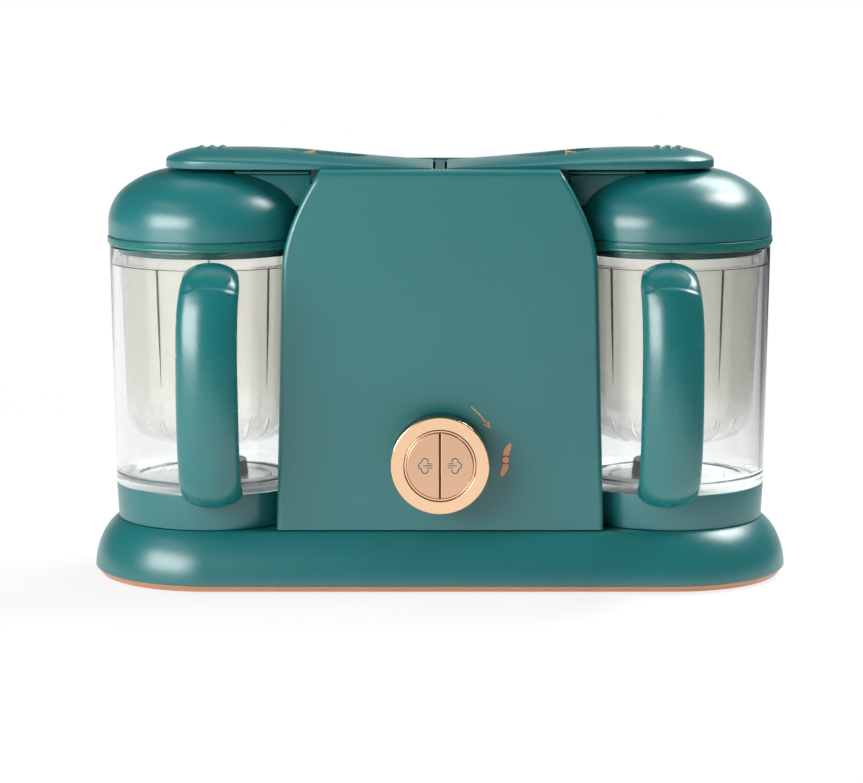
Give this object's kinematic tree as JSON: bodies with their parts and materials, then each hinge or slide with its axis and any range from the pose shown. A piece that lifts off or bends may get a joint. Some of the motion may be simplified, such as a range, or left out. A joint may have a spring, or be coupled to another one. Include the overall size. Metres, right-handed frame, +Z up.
{
  "type": "baby food maker",
  "caption": "Countertop twin-bowl steamer and blender with clear handled jugs, domed lids under hinged locking arms, a central tower and a round knob.",
  "frame": {"origin": "On the table under the middle of the line that joins the two bowl axes, on the centre foot's underside", "axes": "+X to the object's left-to-right as seen from the front, +Y to the back, +Z up"},
  "size_m": [0.3998, 0.168, 0.2467],
  "materials": {
    "teal_plastic": "satin",
    "dark_teal_plastic": "satin",
    "copper_coat": "satin metallic",
    "rose_metal": "polished",
    "clear_glass": "clear",
    "milky_plastic": "translucent",
    "steel": "brushed",
    "silicone": "matt",
    "dark_plastic": "matt",
    "circuit_board": "matt"
  },
  "bodies": {
    "base": {"base_housing": "teal_plastic", "front_panel": "teal_plastic", "rear_cover": "teal_plastic", "tower_body": "dark_teal_plastic", "hinge_block": "dark_teal_plastic", "base_plate": "copper_coat", "knob_bezel": "rose_metal", "knob_hub": "rose_metal", "boiler_left": "steel", "boiler_right": "steel", "motor_mount": "steel", "motor_can": "steel", "boiler_shelf": "steel", "drive_bearings": "steel", "hinge_pins": "steel", "housing_screws": "steel", "button_springs": "steel", "rubber_feet": "silicone", "steam_ports": "silicone", "cord_gland": "silicone", "drive_belts": "silicone", "boiler_heaters": "dark_plastic", "steam_switches": "dark_plastic", "blend_switch": "dark_plastic", "control_board": "circuit_board"},
    "left_arm": {"arm_left": "teal_plastic", "arm_underplate_left": "dark_teal_plastic", "arm_marker_left": "copper_coat", "tank_seal_left": "silicone", "lid_left": "teal_plastic", "lid_seal_left": "silicone"},
    "left_bowl": {"bowl_left": "clear_glass", "bowl_bush_left": "steel", "bowl_skirt_left": "teal_plastic", "handle_left": "teal_plastic", "basket_left": "milky_plastic"},
    "left_drive": {"drive_shaft_left": "steel", "drive_pulley_left": "dark_plastic"},
    "left_blade": {"blade_left": "steel", "blade_hub_left": "dark_plastic"},
    "left_button": {"button_left": "rose_metal"},
    "right_arm": {"arm_right": "teal_plastic", "arm_underplate_right": "dark_teal_plastic", "arm_marker_right": "copper_coat", "tank_seal_right": "silicone", "lid_right": "teal_plastic", "lid_seal_right": "silicone"},
    "right_bowl": {"bowl_right": "clear_glass", "bowl_bush_right": "steel", "bowl_skirt_right": "teal_plastic", "handle_right": "teal_plastic", "basket_right": "milky_plastic"},
    "right_drive": {"drive_shaft_right": "steel", "drive_pulley_right": "dark_plastic"},
    "right_blade": {"blade_right": "steel", "blade_hub_right": "dark_plastic"},
    "right_button": {"button_right": "rose_metal"},
    "motor_rotor": {"motor_shaft": "steel", "motor_pulley": "dark_plastic"},
    "knob": {"knob_ring": "rose_metal"}
  },
  "joints": [
    {"name": "left_arm_lift", "type": "hinge", "parent": "base", "child": "left_arm", "pos_m": [-0.007, 0, 0.2334], "axis": [0, 1, 0], "range_deg": [0, 78]},
    {"name": "left_bowl_turn", "type": "hinge", "parent": "base", "child": "left_bowl", "pos_m": [-0.1315, 0, 0.06], "axis": [0, 0, -1], "range_deg": [0, 30]},
    {"name": "left_drive_spin", "type": "hinge", "parent": "base", "child": "left_drive", "pos_m": [-0.1315, 0, 0.03], "axis": [0, 0, 1], "continuous": true},
    {"name": "left_blade_spin", "type": "hinge", "parent": "base", "child": "left_blade", "pos_m": [-0.1315, 0, 0.06], "axis": [0, 0, 1], "continuous": true},
    {"name": "left_button_press", "type": "slide", "parent": "base", "child": "left_button", "axis": [0, 1, 0], "range_m": [0, 0.002], "stiffness_N_per_m": 400, "springref_m": -0.001},
    {"name": "right_arm_lift", "type": "hinge", "parent": "base", "child": "right_arm", "pos_m": [0.007, 0, 0.2334], "axis": [0, -1, 0], "range_deg": [0, 78]},
    {"name": "right_bowl_turn", "type": "hinge", "parent": "base", "child": "right_bowl", "pos_m": [0.1315, 0, 0.06], "axis": [0, 0, 1], "range_deg": [0, 30]},
    {"name": "right_drive_spin", "type": "hinge", "parent": "base", "child": "right_drive", "pos_m": [0.1315, 0, 0.03], "axis": [0, 0, 1], "continuous": true},
    {"name": "right_blade_spin", "type": "hinge", "parent": "base", "child": "right_blade", "pos_m": [0.1315, 0, 0.06], "axis": [0, 0, 1], "continuous": true},
    {"name": "right_button_press", "type": "slide", "parent": "base", "child": "right_button", "axis": [0, 1, 0], "range_m": [0, 0.002], "stiffness_N_per_m": 400, "springref_m": -0.001},
    {"name": "motor_spin", "type": "hinge", "parent": "base", "child": "motor_rotor", "pos_m": [0, 0, 0.06], "axis": [0, 0, 1], "continuous": true},
    {"name": "knob_turn", "type": "hinge", "parent": "base", "child": "knob", "pos_m": [0, -0.065, 0.0745], "axis": [0, 1, 0], "range_deg": [0, 40], "stiffness_Nm_per_rad": 0.05, "springref_deg": -11.46}
  ],
  "couplings": [
    {"joint": "left_drive_spin", "follows": "motor_spin", "ratio": 1},
    {"joint": "left_blade_spin", "follows": "motor_spin", "ratio": 1},
    {"joint": "right_drive_spin", "follows": "motor_spin", "ratio": 1},
    {"joint": "right_blade_spin", "follows": "motor_spin", "ratio": 1}
  ]
}
